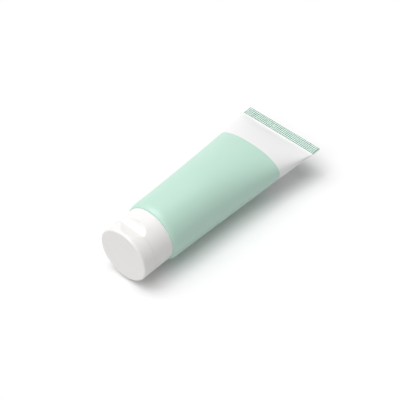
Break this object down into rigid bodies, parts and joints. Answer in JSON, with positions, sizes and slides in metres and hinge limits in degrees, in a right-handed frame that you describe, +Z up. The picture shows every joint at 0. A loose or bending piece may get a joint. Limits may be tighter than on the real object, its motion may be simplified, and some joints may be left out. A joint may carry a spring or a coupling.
{
  "type": "toothpaste tube",
  "caption": "Squeeze tube of toothpaste with a round shoulder, a flat ribbed crimp at the tail and a flip-top cap that opens on a living hinge.",
  "frame": {"origin": "on the resting plane, under the middle of the overall length and width", "axes": "+X along the tube's axis from the cap towards the crimped tail, +Y across the crimp, +Z up, away from the surface that the tube lies on"},
  "size_m": [0.1302, 0.0506, 0.035],
  "materials": {
    "sleeve": "soft satin polyethylene, white with a mint green printed band and crimp",
    "head": "satin moulded polyethylene",
    "cap": "satin moulded polypropylene",
    "paste": "smooth wet paste"
  },
  "bodies": {
    "tube": {"tube_sleeve": "sleeve", "tube_head": "head", "cap_base": "cap", "living_hinge": "cap", "toothpaste": "paste"},
    "lid": {"flip_lid": "cap"}
  },
  "joints": [
    {"name": "lid_hinge", "type": "hinge", "parent": "tube", "child": "lid", "pos_m": [-0.05715, 0, 0.00208], "axis": [0, -1, 0], "range_deg": [0, 130], "deforming": ["living_hinge"]}
  ]
}
